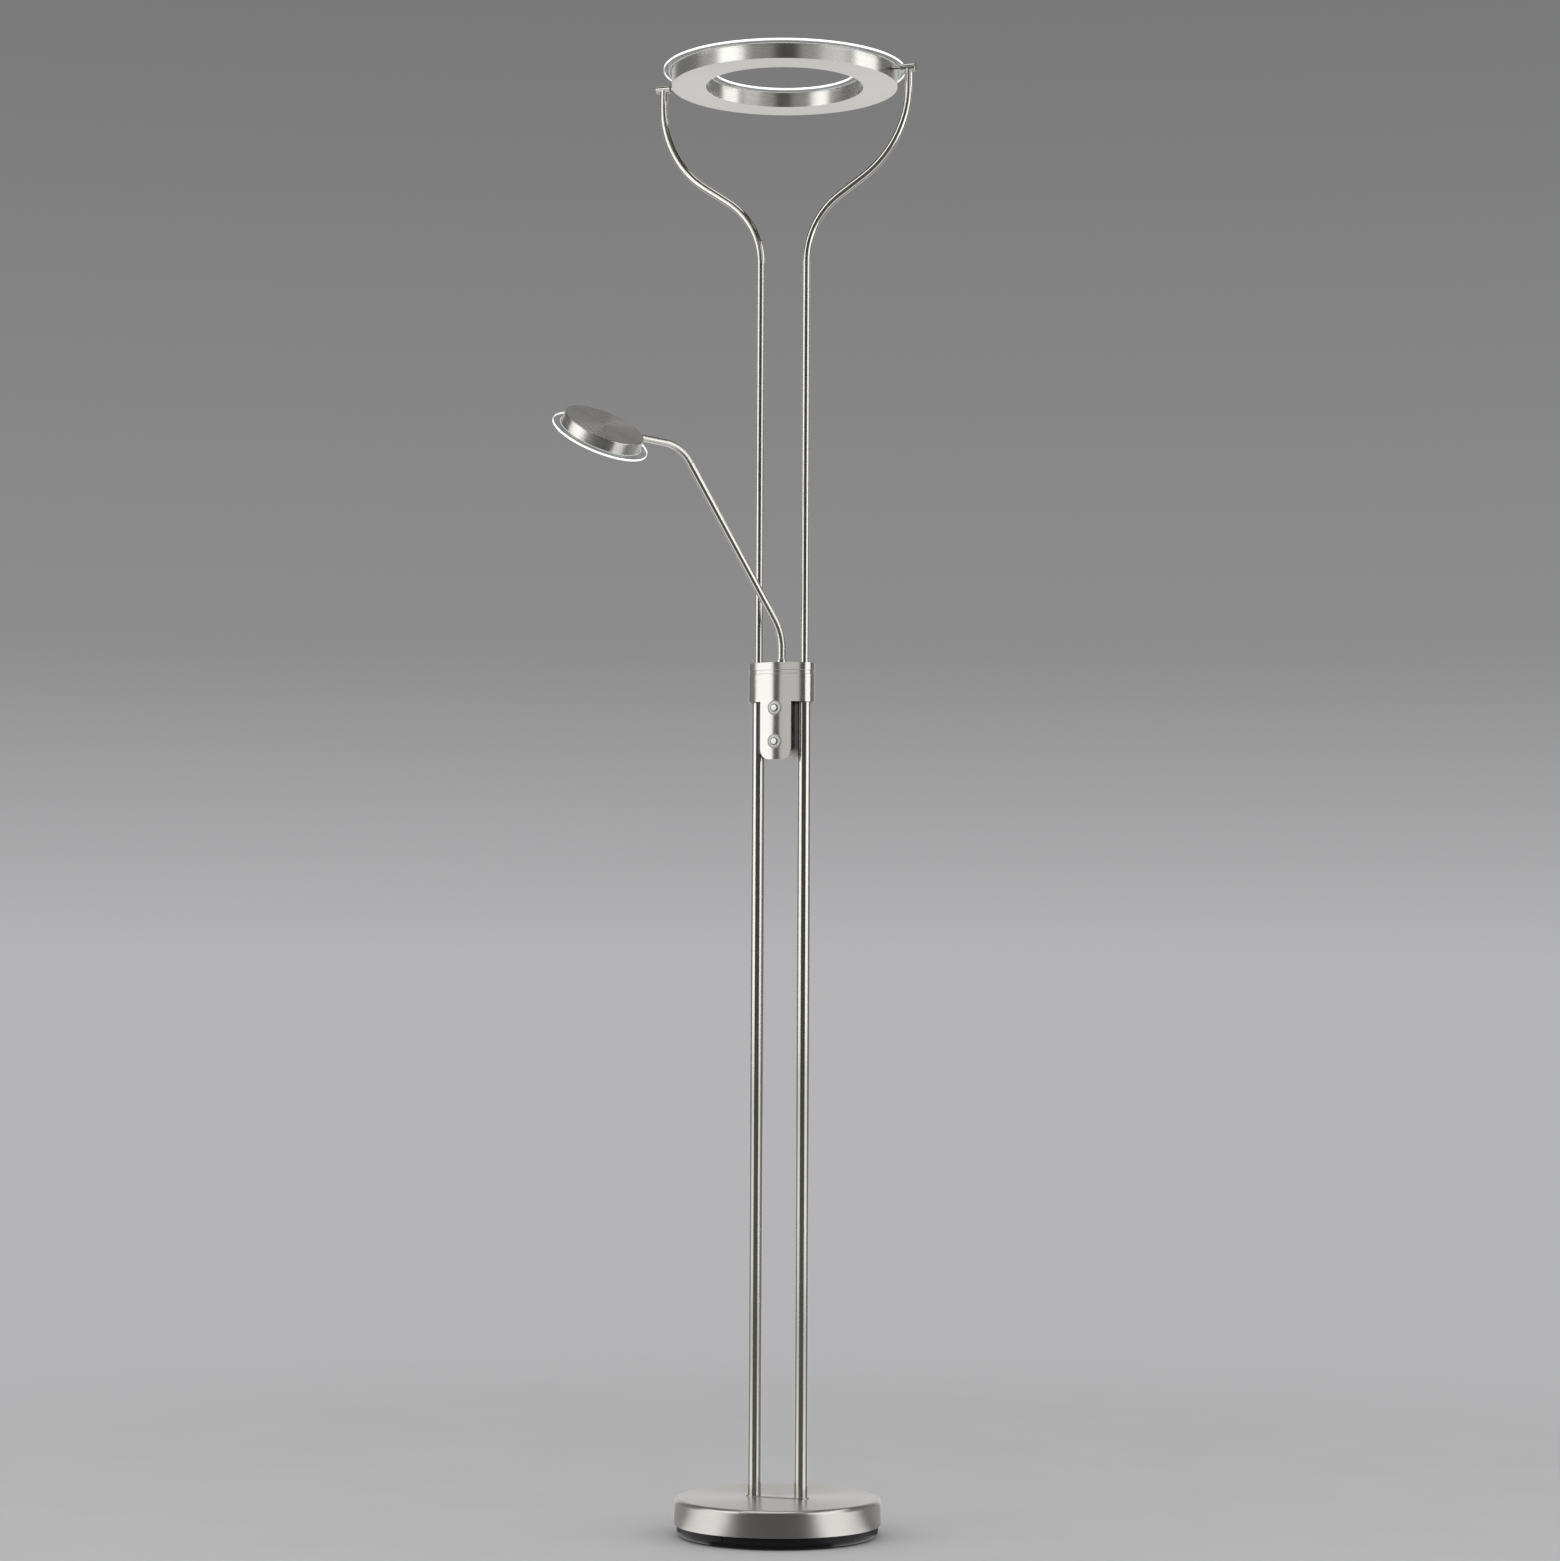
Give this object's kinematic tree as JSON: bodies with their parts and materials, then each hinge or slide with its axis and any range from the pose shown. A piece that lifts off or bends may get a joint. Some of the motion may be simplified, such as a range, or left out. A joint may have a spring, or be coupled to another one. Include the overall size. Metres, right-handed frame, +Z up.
{
  "type": "torchiere floor lamp with reading light",
  "caption": "Torchiere floor lamp: ring uplight tilting between forked tubes, round reading light on a gooseneck arm, oval push-button housing and round weighted base.",
  "frame": {"origin": "centre of the felt pad's underside, on the floor under the middle of the base", "axes": "+Z up; +X to the right along the line of the two rods, which is also the ring's pivot axis; -Y to the front, the side of the buttons"},
  "size_m": [0.3783, 0.4193, 1.8],
  "materials": {
    "brushed_nickel": "fine brushed, satin",
    "polished_nickel": "polished",
    "black_plastic": "satin black",
    "cast_iron": "as cast",
    "zinc_steel": "zinc plated",
    "brass": "turned",
    "white_plastic": "satin",
    "board_green": "lacquered",
    "led_board": "white lacquer",
    "opal_plastic": "opal",
    "clear_glass": "clear, polished edge",
    "felt": "felt"
  },
  "bodies": {
    "stand": {"felt_pad": "felt", "foot_tray": "black_plastic", "cord_inlet": "black_plastic", "base_weight": "cast_iron", "led_driver": "white_plastic", "spacer_tubes": "zinc_steel", "tie_rods": "brass", "tie_nuts": "zinc_steel", "base_cover": "brushed_nickel", "foot_plate": "brushed_nickel", "tube_inserts": "zinc_steel", "lower_tube_left": "brushed_nickel", "lower_tube_right": "brushed_nickel", "coupler_left": "zinc_steel", "coupler_right": "zinc_steel", "clamp_block": "zinc_steel", "band": "brushed_nickel", "band_screw": "polished_nickel", "band_cap": "brushed_nickel", "swivel_bush": "brass", "switch_box": "brushed_nickel", "switch_box_lid": "black_plastic", "lid_screws": "polished_nickel", "dimmer_board": "board_green", "switches": "black_plastic", "bezel_upper": "polished_nickel", "bezel_lower": "polished_nickel", "upper_tube_left": "brushed_nickel", "upper_tube_right": "brushed_nickel", "barrel_left": "brushed_nickel", "barrel_right": "brushed_nickel"},
    "ring_head": {"pivot_pin_left": "polished_nickel", "pivot_pin_right": "polished_nickel", "pivot_nuts": "brass", "ring_housing": "brushed_nickel", "ring_board": "led_board", "ring_diffuser": "opal_plastic", "ring_glass": "clear_glass"},
    "arm_base": {"arm_socket": "brushed_nickel", "swivel_nut": "brass", "lower_gooseneck": "brushed_nickel"},
    "arm": {"arm_tube": "brushed_nickel", "arm_sleeves": "brass", "upper_gooseneck": "brushed_nickel"},
    "neck_end": {"neck_nipple": "brushed_nickel"},
    "reading_head": {"neck_nut": "brass", "reading_cap": "brushed_nickel", "reading_board": "led_board", "reading_diffuser": "opal_plastic", "reading_glass": "clear_glass"},
    "upper_push": {"button_upper": "polished_nickel"},
    "lower_push": {"button_lower": "polished_nickel"}
  },
  "joints": [
    {"name": "ring_tilt", "type": "hinge", "parent": "stand", "child": "ring_head", "pos_m": [0, 0, 1.789], "axis": [1, 0, 0], "range_deg": [-90, 90]},
    {"name": "arm_swivel", "type": "hinge", "parent": "stand", "child": "arm_base", "pos_m": [0, 0, 1.0603], "axis": [0, 0, 1], "range_deg": [-31, 101]},
    {"name": "lower_neck_bend", "type": "hinge", "parent": "arm_base", "child": "arm", "pos_m": [-0.00258, -0.00368, 1.10156], "axis": [0.8192, -0.5736, 0], "range_deg": [-25, 50], "deforming": ["lower_gooseneck"]},
    {"name": "upper_neck_bend", "type": "hinge", "parent": "arm", "child": "neck_end", "pos_m": [-0.09673, -0.13814, 1.3177], "axis": [0.8192, -0.5736, 0], "range_deg": [-40, 60], "deforming": ["upper_gooseneck"]},
    {"name": "head_roll", "type": "hinge", "parent": "neck_end", "child": "reading_head", "pos_m": [-0.11979, -0.17108, 1.32106], "axis": [-0.5718, -0.8166, 0.0785], "range_deg": [-26, 94]},
    {"name": "upper_button", "type": "slide", "parent": "stand", "child": "upper_push", "axis": [0, 1, 0], "range_m": [0, 0.001], "stiffness_N_per_m": 400, "springref_m": -0.001},
    {"name": "lower_button", "type": "slide", "parent": "stand", "child": "lower_push", "axis": [0, 1, 0], "range_m": [0, 0.001], "stiffness_N_per_m": 400, "springref_m": -0.001}
  ]
}
